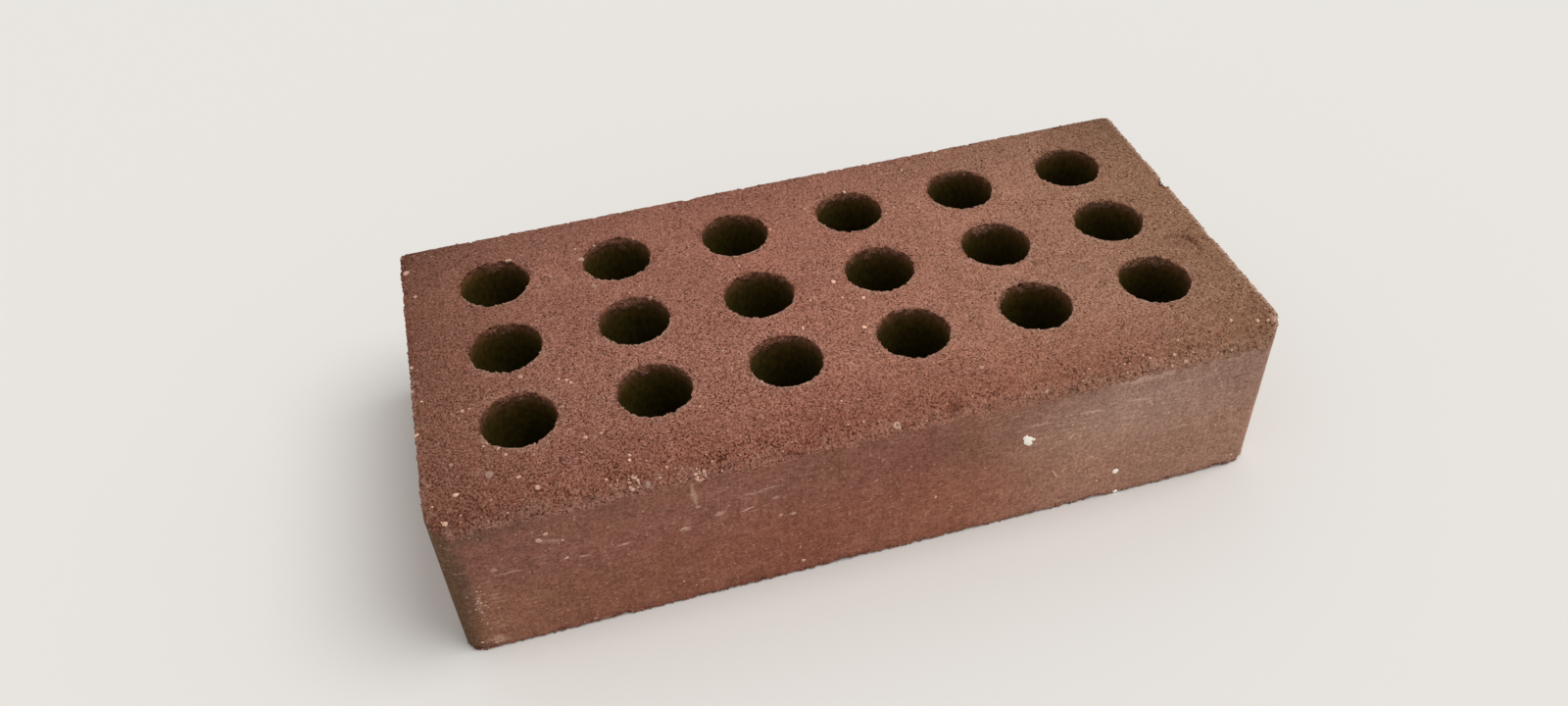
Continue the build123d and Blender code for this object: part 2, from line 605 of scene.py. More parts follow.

# Marks in mm: X and Z of both ends, width and strength; the dark patches are on the upper bed and have X and
# Y
clayMarks = {
    "smudges": (
        ((17.6, -54.8), (24.0, -54.2), 3.6, 0.55), ((-5.0, 22.0), (2.0, 20.0), 5.0, 0.15),
        ((112.2, -6.0), (112.2, -18.0), 9.0, 0.32)),
    "rubs": (  # short pale scratches and smears
        ((-108.0, 30.9), (-97.8, 30.3), 0.9, 0.50), ((-107.8, 33.4), (-105.2, 32.1), 1.7, 0.50),
        ((-85.0, 30.3), (-81.5, 29.6), 1.1, 0.55), ((-74.7, 30.7), (-69.9, 30.7), 1.0, 0.75),
        ((-57.6, 31.1), (-53.2, 31.5), 1.1, 0.85), ((-56.0, 30.4), (-53.6, 30.5), 0.8, 0.60),
        ((-47.7, 33.6), (-44.0, 34.1), 1.9, 0.60), ((-40.4, 32.8), (-35.8, 33.3), 1.0, 0.80),
        ((-52.4, 48.8), (-51.6, 38.0), 1.9, 0.45), ((-52.4, 39.0), (-50.6, 38.4), 1.9, 0.55),
        ((-43.0, 38.5), (-26.1, 39.6), 1.1, 0.40), ((-31.4, 34.6), (-28.8, 34.9), 1.7, 0.55),
        ((-29.9, 27.4), (-28.3, 27.1), 1.5, 0.80), ((-26.8, 26.6), (-24.2, 26.5), 1.5, 0.75),
        ((-53.8, 7.3), (-50.4, 7.3), 0.9, 0.60), ((-2.4, 31.7), (-0.7, 32.7), 1.0, 0.75),
        ((40.5, 39.5), (51.6, 38.2), 1.1, 0.50), ((57.4, 39.6), (67.9, 38.7), 1.0, 0.75),
        ((69.9, 40.5), (83.1, 38.4), 1.0, 0.70), ((73.9, 34.4), (77.5, 35.2), 0.9, 0.65),
        ((84.0, 42.9), (97.0, 42.0), 1.1, 0.55), ((84.0, 24.1), (99.1, 23.4), 1.0, 0.40),
        ((55.4, 29.8), (57.9, 31.9), 0.9, 0.90), ((62.5, 20.4), (64.9, 19.4), 1.0, 0.60),
        ((51.8, 18.9), (54.6, 13.8), 0.8, 0.85), ((54.8, 16.0), (57.3, 18.0), 0.8, 0.70),
        ((-112.4, 26.0), (-113.2, 15.0), 2.0, 0.28), ((-112.5, 6.5), (-108.5, 1.5), 4.6, 0.45),
        ((60.0, 48.2), (94.0, 46.8), 3.4, 0.40), ((-95.0, 40.0), (-86.0, 38.0), 2.0, 0.30),
    ),
    "stains": (  # olive firing stain along the top left
        ((-121.0, 45.5), (-88.0, 49.5), 8.0, 0.80), ((-116.5, 50.0), (-115.0, 14.0), 7.0, 0.70)),
    "irons": (  # dark iron specks
        ((69.4, 8.0), (70.7, 8.5), 1.0, 0.85), ((19.0, 9.0), (19.8, 9.0), 0.8, 0.60)),
}

# Where each tone and mark lies: a product in square brackets. Its factors are numbers, names from here and
# above, more square brackets for the strongest of some names, and ramps in round brackets: what is read, the
# two values of it between which the ramp runs, and the shares at both ends if they aren't 0 and 1.
claySpread = {
    "notBore": [("bore", 0, 1, 1, 0)],
    "notCut": [("cut", 0, 1, 1, 0)],
    "skin": ["notBore", "notCut"],
    "onFront": [("y", 5.0 - halfWidth, 3.5 - halfWidth)],
    "along": [("x", -halfLength, halfLength)],
    "bevelShare": [
        ("y", 24 - halfWidth, 4 - halfWidth), ("x", -halfLength, -50, 0.5, 1), ("x", halfLength, 70, 0.3, 1)],
    # painted shade: the upper bed darkens towards its back edge
    "backPaintedShade": [("y", halfWidth - 22, halfWidth, 1, 0.80)],
    "highShare": [("z", 18, 38)],
    "plumShare": [("cloud", 0.40, 0.58), ("z", 18, 34), ("x", 60, 0)],
    "stainShare": ["stains", "onFront", ("cloud", 0.25, 0.50)],
    # painted shade on the round of the left upright corner
    "cornerShadeShare": [("x", 8.5 - halfLength, 2.5 - halfLength), ("y", 14 - halfWidth, 5 - halfWidth)],
    "crisp": [("y", 35, -25), ("x", 45, -30), "cut"],  # the sand is crispest at the left front
    "sandLow": [("crisp", 0, 1, 0.28, 0.36)],
    "sandHigh": [("crisp", 0, 1, 0.72, 0.64)],
    "sandShare": [("sandGrain", "sandLow", "sandHigh")],
    "skinShare": [("skinGrain", "sandLow", "sandHigh")],
    "broken": [("grain", 0.36, 0.58)],
    "scratches": ["rubs", "onFront", ("grain", 0.30, 0.44), "skin"],
    "bloomPlace": [("x", 30, 58), ("x", 110, 84), ("z", 16, 30), ("z", 50, 38), "onFront", "skin"],
    "bloom": ["bloomPlace", ("streak", 0.25, 0.75), ("grain", 0.25, 0.55), 0.42],
    "streaks": [
        ("streak", 0.58, 0.68), ("region", 0.42, 0.58), "broken", "skin", ("bloomPlace", 0, 1, 0.40, 0.85)],
    "faceLime": ["faceSpecks", "skin", 0.50],
    "freckles": ["freckleSpecks", ("streak", 0.46, 0.54), "bloomPlace"],
    "bedLime": ["bedSpecks", "cut", 0.48],
    # painted highlights on the near rims, the right arris and the right corner, and the paler broken skin
    "edgeHighlightsAndPaleBreaks": ["pale", ("grain", 0.32, 0.52)],
    "paleShare": [["scratches", "streaks", "bloom", "faceLime", "freckles", "bedLime", "edgeHighlightsAndPaleBreaks"]],
    "bevelCrowd": [("z", 53, 51), ("x", -60, 100, 0.80, 0.30)],
    "pitCrowd": [("cluster", 0.34, 0.58, 0.35, 1)],
    "pitEnd": [("crisp", 0, 1, 0.385, 0.415)],
    "finePits": [("pits", "pitEnd", 0.33), ["pitCrowd", "bevelCrowd"], "cut", "notBore", 0.90],
    "skinPits": [("pits", 0.31, 0.27), "skin", 0.55],
    # painted shade and dirt in the deeper hollows of the clay
    "hollowShadeAndDirt": [("hollow", 0.15, 0.8), "notBore", "broken", 0.40],
    "ironSpecks": ["irons", "onFront", "broken"],
    "smudge": ["smudges", "cut", ("z", 44, 48)],
    "darkShare": [["finePits", "skinPits", "hollowShadeAndDirt", "ironSpecks", "smudge"]],
    "bumpShare": [("cut", 0, 1, 0.15, 1)],  # faint on the smooth skin
}


def newMaterial(name):
    # An empty material, its node tree, and the place on a piece in millimetres
    material = bpy.data.materials.new(name)
    material.use_nodes = True
    tree = material.node_tree
    tree.nodes.clear()
    place = addNode(tree, "TexCoord", output="Object")
    return material, tree, addNode(tree, "VectorMath", {0: place, "Scale": 1 / mm}, operation="SCALE")


def finishMaterial(tree, look, links):
    shader = addNode(tree, "BsdfPrincipled", {
        **links, "Roughness": look["roughness"], "Specular IOR Level": look["specular"]})
    addNode(tree, "OutputMaterial", {"Surface": shader})


def colourStops(tree, factor, stops):
    colour = addNode(tree, "ValToRGB", {"Fac": factor}, "Color")
    ramp = colour.node.color_ramp
    while len(ramp.elements) < len(stops):
        ramp.elements.new(0.5)
    for element, (position, code) in zip(ramp.elements, stops):
        element.position = position
        element.color = linearColour(code)
    return colour


def joined(tree, values, operation="MULTIPLY"):
    # The product of some values, or what another operation makes of them, one after the other
    result = values[0]
    for value in values[1:]:
        result = addNode(tree, "Math", {0: result, 1: value}, operation=operation)
    return result


def painted(tree, colour, share, paint):
    # A colour with another one, or a hex code, laid over it as far as the share says
    if isinstance(paint, str):
        paint = linearColour(paint)
    return addNode(tree, "Mix", {"Factor": share, "A": colour, "B": paint}, "Result", data_type="RGBA")


def toned(tree, colour, share, dark, light):
    # A colour between its dark and its light version
    dark, light = [
        addNode(tree, "VectorMath", {0: colour, 1: end}, operation="MULTIPLY") for end in (dark, light)]
    return painted(tree, dark, share, light)


def mottled(tree, inMm, across, upright, detail):
    # Noise with bumps of that size, in mm
    shares = (1 / across, 1 / across, 1 / upright)
    stretched = addNode(tree, "VectorMath", {0: inMm, 1: shares}, operation="MULTIPLY")
    return addNode(tree, "TexNoise", {"Vector": stretched, "Scale": 1.0, "Detail": detail})


def patternShade(tree, inMm, read, across, upright, detail, least, most, where):
    # A factor around 1 from noise of that size, which stays 1 outside its area
    change = addNode(tree, "MapRange", {
        "Value": mottled(tree, inMm, across, upright, detail),
        "From Min": noiseLow, "From Max": noiseHigh, "To Min": least - 1, "To Max": most - 1})
    return addNode(tree, "Math", {0: change, 1: read[where], 2: 1.0}, operation="MULTIPLY_ADD")


def speckled(tree, inMm, spacing, share, radius):
    # 1 inside a speck and 0 around it
    cell = addNode(tree, "TexVoronoi", {"Vector": inMm, "Scale": 1 / spacing}, "Distance")
    inner, outer = clay["speckRim"]
    inside = addNode(tree, "MapRange", {
        "Value": cell, "From Min": radius * inner / spacing, "From Max": radius * outer / spacing,
        "To Min": 1.0, "To Max": 0.0})
    chance = addNode(tree, "SeparateColor", {0: cell.node.outputs["Color"]})
    return joined(tree, [inside, joined(tree, [chance, share], "LESS_THAN")])


def ovalMark(tree, wavering, onBed, start, end, width, strength):
    # A long oval between two places of a face: full strength along its middle, 0 at its edge. It goes right
    # through the brick, and a ramp keeps it to its own face.
    x, y = (Vector(start) + Vector(end)) / 2
    along = Vector(end) - Vector(start)
    angle = math.atan2(along.y, along.x)
    lengthways, across, through = along.length / 2, width / 2, 10 * halfWidth
    oval = {"Location": (x, 0, y), "Rotation": (0, -angle, 0), "Scale": (lengthways, through, across)}
    if onBed:
        oval = {"Location": (x, y, 0), "Rotation": (0, 0, angle), "Scale": (lengthways, across, through)}
    local = addNode(tree, "Mapping", {"Vector": wavering, **oval}, vector_type="TEXTURE")
    reach = addNode(tree, "VectorMath", {0: local}, "Value", operation="LENGTH")
    return addNode(tree, "MapRange", {
        "Value": reach, "From Min": clay["markCore"], "From Max": 1.0, "To Min": strength, "To Max": 0.0})


def spread(tree, read, factors):
    # One entry of claySpread
    shares = []
    for factor in factors:
        if isinstance(factor, tuple):
            source, start, finish, *ends = factor
            first, last = ends or (0, 1)
            factor = addNode(tree, "MapRange", {
                "Value": read[source], "To Min": first, "To Max": last,
                "From Min": read.get(start, start), "From Max": read.get(finish, finish)})
        elif isinstance(factor, list):
            factor = joined(tree, [read[name] for name in factor], "MAXIMUM")
        elif isinstance(factor, str):
            factor = read[factor]
        shares.append(factor)
    return joined(tree, shares)


def firedClay():
    material, tree, inMm = newMaterial("fired_clay")
    axes = addNode(tree, "SeparateXYZ", {0: inMm}).node.outputs
    read = {"x": axes[0], "y": axes[1], "z": axes[2], "whole": 1.0}
    for name in ("cut", "bore", "hollow", "pale", "shade"):
        read[name] = addNode(tree, "Attribute", output="Fac", attribute_name=name)
    for name, sizes in clayNoise.items():
        read[name] = mottled(tree, inMm, *sizes)
    for name, sizes in claySpecks.items():
        read[name] = speckled(tree, inMm, *sizes)
    wander = read["wander"].node.outputs["Color"]
    wavering = addNode(tree, "VectorMath", {
        0: wander, 1: (clay["waver"],) * 3, 2: inMm}, operation="MULTIPLY_ADD")
    wavering = addNode(tree, "VectorMath", {
        0: wavering, 1: (clay["waver"] / 2,) * 3}, operation="SUBTRACT")
    for name, ovals in clayMarks.items():
        ovals = [ovalMark(tree, wavering, name == "smudges", *oval) for oval in ovals]
        read[name] = joined(tree, ovals, "MAXIMUM")
    for name, factors in claySpread.items():
        read[name] = spread(tree, read, factors)

    # Colours of the beds, the outer faces and the perforations, with painted shade towards the back of the
    # bed, on the left corner and down the perforations
    plain = (1.0, 1.0, 1.0)
    bed, faceHigh, faceLow = (
        colourStops(tree, read["along"], clay[name]) for name in ("bedAlong", "faceHigh", "faceLow"))
    bed = toned(tree, bed, read["bevelShare"], plain, clay["bevelTint"])
    bed = addNode(tree, "VectorMath", {0: bed, "Scale": read["backPaintedShade"]}, operation="SCALE")
    face = painted(tree, faceLow, read["highShare"], faceHigh)
    face = toned(tree, face, read["plumShare"], plain, clay["plumTint"])
    face = painted(tree, face, read["stainShare"], clay["stainColour"])
    face = painted(tree, face, read["cornerShadeShare"], clay["cornerShadeColour"])
    # Painted shade down the perforations: darker with the depth from the nearer bed
    fromTop = joined(tree, [height, read["z"]], "SUBTRACT")
    read["down"] = joined(tree, [fromTop, read["z"]], "MINIMUM")
    deepest = clay["boreShadeByDepth"][-1][0]
    boreShadeStops = [(depth / deepest, code) for depth, code in clay["boreShadeByDepth"]]
    bore = colourStops(tree, spread(tree, read, [("down", 0, deepest)]), boreShadeStops)
    colour = painted(tree, face, read["cut"], bed)
    colour = painted(tree, colour, read["bore"], bore)
    shade = joined(tree, [patternShade(tree, inMm, read, *pattern) for pattern in clayPatterns.values()])
    colour = addNode(tree, "VectorMath", {0: colour, "Scale": shade}, operation="SCALE")

    # Sand on the cut faces, finer and fainter on the smooth skin; a strewn grain brings its own shade
    for name, area in (("sand", "cut"), ("skin", "skin")):
        share = addNode(tree, "Math", {
            0: read[name + "Share"], 1: read["shade"]}, operation="ADD", use_clamp=True)
        sanded = toned(tree, colour, share, clay[name + "Dark"], clay[name + "Light"])
        colour = painted(tree, colour, read[area], sanded)
    # pale scratches and lime, and painted highlights on the near rims, the right arris and the right corner
    colour = painted(tree, colour, read["paleShare"], clay["paleColour"])
    # dark pits, specks and patches, and painted shade in the hollows
    colour = painted(tree, colour, read["darkShare"], clay["pitAndShadeColour"])

    # Relief finer than the mesh
    sand = addNode(tree, "Math", {
        0: read["finePits"], 1: clay["pitBump"], 2: read["grain"]}, operation="MULTIPLY_ADD")
    raised = joined(tree, [sand, read["bumpShare"]])
    bump = addNode(tree, "Bump", {"Height": raised, "Strength": 1.0, "Distance": clay["bump"] * mm})
    finishMaterial(tree, clay, {"Base Color": colour, "Normal": bump})
    print("clay material", len(tree.nodes), "nodes")
    return material


# Lime and quartz grit: cream grains, chalky and a little mottled
lime = {
    "colour": "#c69e8a",
    "spotColour": "#fdf6e8",
    "darkest": 0.75,  # what the mottle leaves of the colour
    "spotDarkest": 0.92,
    "lightest": 1.15,
    "mottle": 0.5,  # mm
    "roughness": 0.9,
    "specular": 0.15,
}


def limeGrit(name, code, darkest):
    material, tree, inMm = newMaterial(name)
    shade = addNode(tree, "MapRange", {
        "Value": mottled(tree, inMm, lime["mottle"], lime["mottle"], 2.0),
        "From Min": noiseLow, "From Max": noiseHigh, "To Min": darkest, "To Max": lime["lightest"]})
    own = addNode(tree, "Attribute", output="Fac", attribute_name="shade")
    shade = joined(tree, [shade, joined(tree, [own, 1.0], "ADD")])
    colour = addNode(tree, "VectorMath", {0: linearColour(code)[:3], "Scale": shade}, operation="SCALE")
    finishMaterial(tree, lime, {"Base Color": colour})
    return material


def scatterTree():
    # Grains strewn over a surface where one of its marks is high, part sunk in it and each turned its own way
    tree = bpy.data.node_groups.new("scatter_grains", "GeometryNodeTree")
    kinds = {
        "Geometry": "Geometry", "Where": "String", "Spacing": "Float", "Density": "Float", "Radius": "Float",
        "Smallest": "Float", "Largest": "Float", "Sink": "Float", "Lumps": "Float", "Segments": "Int",
        "Rings": "Int", "Shade": "Float", "Seed": "Int", "Material": "Material"}
    for name, kind in kinds.items():
        tree.interface.new_socket(name, in_out="INPUT", socket_type="NodeSocket" + kind)
    tree.interface.new_socket("Geometry", in_out="OUTPUT", socket_type="NodeSocketGeometry")
    given = addNode(tree, "NodeGroupInput").node.outputs
    where = addNode(
        tree, "GeometryNodeInputNamedAttribute", {"Name": given["Where"]}, "Attribute", data_type="FLOAT")
    strewn = addNode(tree, "GeometryNodeDistributePointsOnFaces", {
        "Mesh": given["Geometry"], "Distance Min": given["Spacing"], "Density Max": given["Density"],
        "Density Factor": where, "Seed": given["Seed"]}, "Points", distribute_method="POISSON")
    down = joined(tree, [given["Radius"], given["Sink"], -1.0])
    inward = addNode(tree, "VectorMath", {
        0: strewn.node.outputs["Normal"], "Scale": down}, operation="SCALE")
    sunk = addNode(tree, "GeometryNodeSetPosition", {"Geometry": strewn, "Offset": inward})
    grain = addNode(tree, "GeometryNodeMeshUVSphere", {
        "Segments": given["Segments"], "Rings": given["Rings"], "Radius": given["Radius"]}, "Mesh")
    smallest, largest = (
        addNode(tree, "CombineXYZ", {axis: given[name] for axis in "XYZ"})
        for name in ("Smallest", "Largest"))
    scale = addNode(tree, "FunctionNodeRandomValue", {
        0: smallest, 1: largest, "Seed": given["Seed"]}, "Value", data_type="FLOAT_VECTOR")
    turn = addNode(tree, "FunctionNodeRandomValue", {
        0: (0.0, 0.0, 0.0), 1: (2 * math.pi,) * 3, "Seed": given["Seed"]}, "Value", data_type="FLOAT_VECTOR")
    placed = addNode(tree, "GeometryNodeInstanceOnPoints", {
        "Points": sunk, "Instance": grain, "Rotation": turn, "Scale": scale})
    darker = joined(tree, [given["Shade"], -1.0])
    tint = addNode(tree, "FunctionNodeRandomValue", {
        2: darker, 3: given["Shade"], "Seed": given["Seed"]}, 1, data_type="FLOAT")
    shaded = addNode(tree, "GeometryNodeStoreNamedAttribute", {
        "Geometry": placed, "Name": "shade", "Value": tint}, data_type="FLOAT", domain="INSTANCE")
    whole = addNode(tree, "GeometryNodeRealizeInstances", {0: shaded})
    lump = addNode(tree, "TexNoise", {"Scale": lumpScale / mm, "Detail": 0.0}, "Color")
    centred = addNode(tree, "VectorMath", {0: lump, 1: (0.5,) * 3}, operation="SUBTRACT")
    reach = joined(tree, [given["Radius"], given["Lumps"]])
    push = addNode(tree, "VectorMath", {0: centred, "Scale": reach}, operation="SCALE")
    lumpy = addNode(tree, "GeometryNodeSetPosition", {"Geometry": whole, "Offset": push})
    level = addNode(tree, "GeometryNodeStoreNamedAttribute", {
        "Geometry": lumpy, "Name": "hollow", "Value": 0.0}, data_type="FLOAT", domain="POINT")
    finished = addNode(tree, "GeometryNodeSetMaterial", {"Geometry": level, "Material": given["Material"]})
    addNode(tree, "NodeGroupOutput", {0: finished})
    return tree


# Sand, crumbs and pale specks on the clay, in millimetres; the density is per square millimetre
sandGrain = {
    "Smallest": 0.55, "Largest": 1.15, "Sink": 0.35, "Lumps": 0.5, "Segments": 4, "Rings": 2, "Shade": 0.24}
crumb = {"Lumps": 0.9, "Segments": 5, "Rings": 3, "Shade": 0.20}
grains = {
    "upper_bed_sand": {
        **sandGrain, "Where": "upperBed", "Spacing": 0.80, "Density": 6.0, "Radius": 0.42, "Seed": 3},
    "lower_bed_sand": {
        **sandGrain, "Where": "lowerBed", "Spacing": 1.0, "Density": 5.0, "Radius": 0.5, "Seed": 4},
    "arris_crumbs": {
        **crumb, "Where": "crumbly", "Spacing": 0.9, "Density": 4.0, "Radius": 0.62, "Smallest": 0.40,
        "Largest": 1.25, "Sink": 0.34, "Seed": 5},
    "foot_burrs": {
        "Where": "foot", "Spacing": 0.6, "Density": 8.0, "Radius": 0.36, "Smallest": 0.50, "Largest": 1.60,
        "Sink": -0.10, "Lumps": 0.9, "Segments": 4, "Rings": 3, "Shade": 0.30, "Seed": 6},
    "rim_crumbs": {
        **crumb, "Where": "tornRim", "Spacing": 0.75, "Density": 5.0, "Radius": 0.45, "Smallest": 0.50,
        "Largest": 1.30, "Sink": 0.40, "Seed": 8},
    "lime_specks": {
        "Where": "gritty", "Spacing": 1.4, "Density": 0.065, "Radius": 0.36, "Smallest": 0.35,
        "Largest": 1.30, "Sink": 0.15, "Lumps": 1.1, "Segments": 6, "Rings": 4, "Shade": 0.42, "Seed": 7},
}
lumpScale = 1.1  # lumps per mm on all of them


def scattered(name, tree, surface, sizes, material):
    host = linkedObject(name + "_host", surface.data)
    modifier = host.modifiers.new("scatter", "NODES")
    modifier.node_group = tree
    sockets = {item.name: item.identifier for item in tree.interface.items_tree if item.in_out == "INPUT"}
    for key, value in sizes.items():
        if key in ("Spacing", "Radius"):
            value = value * mm
        if key == "Density":
            value = value / mm ** 2
        modifier[sockets[key]] = value
    modifier[sockets["Material"]] = material
    bpy.context.view_layer.update()
    shown = host.evaluated_get(bpy.context.evaluated_depsgraph_get())
    mesh = bpy.data.meshes.new_from_object(shown)
    mesh.name = name
    bpy.data.objects.remove(host)
    points = np.clip(vertexVectors(mesh, "co"), list(low), list(high))
    mesh.vertices.foreach_set("co", points.ravel())
    mesh.update()
    triangles = sum(len(face.vertices) - 2 for face in mesh.polygons)
    print(name, len(mesh.polygons), "faces", triangles, "triangles")
    return linkedObject(name, mesh)


# Single pale grains that the brick shows, in millimetres
grit = {
    "onBed": (  # x, y, width and how much paler than its kind
        (-102.1, -43.9, 2.9, -0.4), (-94.9, -47.1, 1.5, 0), (-90.7, -51.6, 1.5, 0), (-76.2, -38.5, 1.3, 0.1),
        (-66.2, -48.3, 1.1, 0.5), (-66.6, -49.9, 0.9, 0.6),
        (-110.9, -48.2, 1.7, 0.3), (-115, -54.6, 1.9, 0.2),
        (-118.2, 47.4, 2.4, 0.0), (-116.2, 34.9, 1.3, 0.0), (4.5, 2.2, 1.5, 0.7), (7.0, -20.0, 1.6, 0.8),
        (-9.8, -14.9, 1.4, 0.6), (-57.7, -53.6, 1.0, 0.0), (-59.9, -55.2, 0.9, 0.0), (113.0, -51.4, 1.3, 0.2),
        (105.6, -49.4, 1.2, 0.2), (116.0, -52.0, 1.1, 0.0), (-63.4, -56.0, 2.0, -0.4), (10.7, -7.6, 1.2, 0.6),
        (5.0, -5.7, 0.9, 0.4), (-4.3, -3.9, 0.9, 0.4), (30.2, 29.0, 0.9, 0.5), (-20.3, 18.3, 0.8, 0.4),
        (33.6, 31.2, 1.0, 0.1), (41.8, 26.7, 0.8, 0.3), (86.1, -54.6, 1.4, 0.1), (76.9, -53.4, 1.1, 0.0),
        (-111.3, -37.4, 1.3, -0.3), (-64.1, 22.8, 2.3, -0.3), (-76, 31.5, 1.5, -0.3), (-90, -9.5, 1.9, -0.2),
        (-106.7, -18.5, 1.6, 0), (-104.9, -18.2, 1, 0), (-77.9, -15.1, 1.1, 0.3), (-79.9, -14.2, 1, 0.1),
        (-76.9, -16.5, 1.1, 0.2), (-72, -38.2, 1, 0), (-97.2, -38.2, 1, 0.2), (-90, -40.4, 0.9, 0),
        (-102.6, -33.5, 0.9, 0.1), (-98.9, -35.4, 1.4, -0.1), (13.0, 14.7, 0.8, 0.3), (40.8, 28.6, 1.0, 0.1),
        (42.7, 49.7, 0.8, 0.3), (-66.7, 42.4, 0.9, 0.1), (-119.1, 3.5, 1.1, 0.2), (-119.4, -6.6, 1.2, 0.1),
        (-119.3, -23.9, 1.7, 0.2), (32.3, -45.7, 1.6, -0.2),
    ),
    "onRims": (  # perforation, degrees round its rim and width
        (12, 62, 2.2), (13, 163, 2.2), (7, 55, 1.8), (15, 80, 1.2), (4, 250, 0.9), (2, 215, 1.0),
        (13, 122, 0.9), (13, 51, 1.0),
    ),
    "onFace": (  # x, z and width
        (16.2, 18.8, 1.5), (-84.0, 2.4, 0.9), (-58.1, 9.0, 0.8), (112.4, 4.6, 1.0),
        (-91.5, 42.1, 1.9), (-93.5, 40.2, 2.1), (-87.6, 38.3, 1.1), (-87.7, 30.9, 1.5), (-52.6, 44.2, 0.9),
        (-54.7, 5.9, 0.8), (-23.4, 5.1, 1.4), (-24.1, 11.4, 0.9), (67.3, 8.1, 0.9), (21.3, 13.0, 0.8),
        (101.7, 38.6, 0.9), (102.0, 37.1, 1.0), (108.9, 32.7, 0.7), (90.5, 29.1, 1.0), (85.7, 32.6, 1.1),
        (84.1, 35.7, 0.8), (81.8, 38.4, 0.9), (90.9, 37.7, 0.8), (80.4, 36.7, 0.7), (77.8, 33.5, 0.8),
        (69.2, 38.7, 0.7), (62.0, 38.7, 0.9), (60.2, 38.9, 0.8), (58.5, 39.3, 0.7), (93.4, 14.1, 0.9),
        (95.9, 19.2, 0.7), (82.3, 19.7, 0.7), (103.7, 20.3, 0.8), (104.4, 22.9, 0.9), (64.5, 19.8, 0.8),
        (114.6, 22.6, 0.8), (56.3, 35.4, 0.9), (65.5, 34.6, 0.9), (74.1, 30.2, 1.0), (76.6, 31.5, 0.7),
        (46.7, 51.5, 1.2), (89.3, 50.3, 1.5), (92.5, 49.4, 1.3), (84.8, 50.5, 1.0),
    ),
    "limeSpots": (  # chalk white, on the fair face
        (43.0, 33.5, 3.9), (42.3, 34.7, 2.2), (43.6, 32.1, 2.2), (44.9, 33.3, 1.3), (73.0, 10.4, 3.3),
        (74.4, 0.8, 1.5)),
    "clusters": (  # small rough rings of grit on the bevel: x, y and radius
        (-66.8, -54.9, 1.4), (-49.8, -56.8, 1.5), (4.4, -55.8, 0.7)),
    "clusterGrains": 18,
    "clusterStray": 20,  # degrees by which each strays along its ring
    "clusterReach": (0.3, 1.15, 0.95),  # least, most and commonest distance from its middle, in radii
    "clusterWidths": (0.5, 1.1),
    "dust": (  # grit caught on the left corner: x, z, how far it strays each way, and grains
        (-112.2, 21.5, 0.8, 2.6, 15), (-113.0, 12.0, 0.6, 4.0, 5), (-113.0, 3.5, 1.2, 1.8, 7)),
    "dustWidths": (0.4, 1.0),
    "dustFoot": 1.0,  # none lies lower than this
    "thickness": 0.45,
    "rounds": 2,  # how often the ball that a grain starts from is divided
    "bump": 0.6,  # how lumpy a grain is, as a share of its radius
    "bumpScale": 1.3,  # lumps across half a grain
    "noiseSpan": 50,  # each grain reads its lumps up to this far off in the noise
    "narrowest": 0.55,  # least width of a grain, as a share of its length
    "spotNarrowest": 0.85,
    "squareness": 2.5,  # 1 is a ball, more has a flatter top
    "shade": (-0.30, 0.30),
    "faceShade": (-0.05, 0.40),
    "lift": 0.02,  # grains end this far inside the true face
    "proud": 0.8,  # and stand above the worn clay by at most this share of half their thickness
    "searchDepth": 1.6,  # clay worn away deeper than this carries a grain at its nearest point
    "seed": 41,
}


def upperBedPlace(x, y):
    # A place on the upper bed, its bevel or just below it, and the way the clay faces there
    if y < -halfWidth:
        return fairFacePlace(x, height - skin["bevelDrop"] + y + halfWidth)
    step = 0.1
    before, here, after = (float(bedHeight(y + shift)) for shift in (-step, 0, step))
    return Vector((x, y, here)), Vector((0, (before - after) / (2 * step), 1)).normalized()


def fairFacePlace(x, z):
    # A place on the fair face or its left corner, and the way the clay faces there
    radius = skin["leftFaceCorner"]
    over = x - (radius - halfLength)
    if over >= 0:
        return Vector((x, -halfWidth, z)), Vector((0, -1, 0))
    outward = Vector((over / radius, -math.sqrt(1 - min(1.0, (over / radius) ** 2)), 0))
    middle = Vector((radius - halfLength, radius - halfWidth, z))
    return middle + outward * radius, outward


def grainPlaces(rng):
    # Place, facing, width and shade of every single grain
    spots = [(*upperBedPlace(x, y), width, shade) for x, y, width, shade in grit["onBed"]]

    def placeAround(x, y, reach, angle):
        return upperBedPlace(x + reach * math.cos(angle), y + reach * math.sin(angle))

    for number, degrees, width in grit["onRims"]:
        middle = perforations[number]
        place, outward = placeAround(middle.x, middle.y, boreRadius + width / 3, math.radians(degrees))
        spots.append((place, outward, width, rng.uniform(*grit["shade"])))
    stray = grit["clusterStray"]
    for x, y, radius in grit["clusters"]:
        for step in range(grit["clusterGrains"]):
            angle = math.radians(360 / grit["clusterGrains"] * step + rng.uniform(-stray, stray))
            place, outward = placeAround(x, y, radius * rng.triangular(*grit["clusterReach"]), angle)
            spots.append((place, outward, rng.uniform(*grit["clusterWidths"]), rng.uniform(*grit["shade"])))
    for x, z, width in grit["onFace"]:
        spots.append((*fairFacePlace(x, z), width, rng.uniform(*grit["faceShade"])))
    for x, z, strayX, strayZ, count in grit["dust"]:
        for step in range(count):
            place, outward = fairFacePlace(rng.gauss(x, strayX), max(grit["dustFoot"], rng.gauss(z, strayZ)))
            spots.append((place, outward, rng.uniform(*grit["dustWidths"]), rng.uniform(*grit["faceShade"])))
    return spots


def seatedPlace(surface, place, outward, deep):
    # The middle of a grain: just inside the true face, or lower where the clay under it is worn away
    found = surface.ray_cast((place + outward) * mm, -outward, (1 + grit["searchDepth"]) * mm)[0]
    if found is None:
        return surface.find_nearest(place * mm)[0] / mm
    worn = (place - found / mm).dot(outward)
    return place - outward * (deep + max(grit["lift"], worn - grit["proud"] * deep))


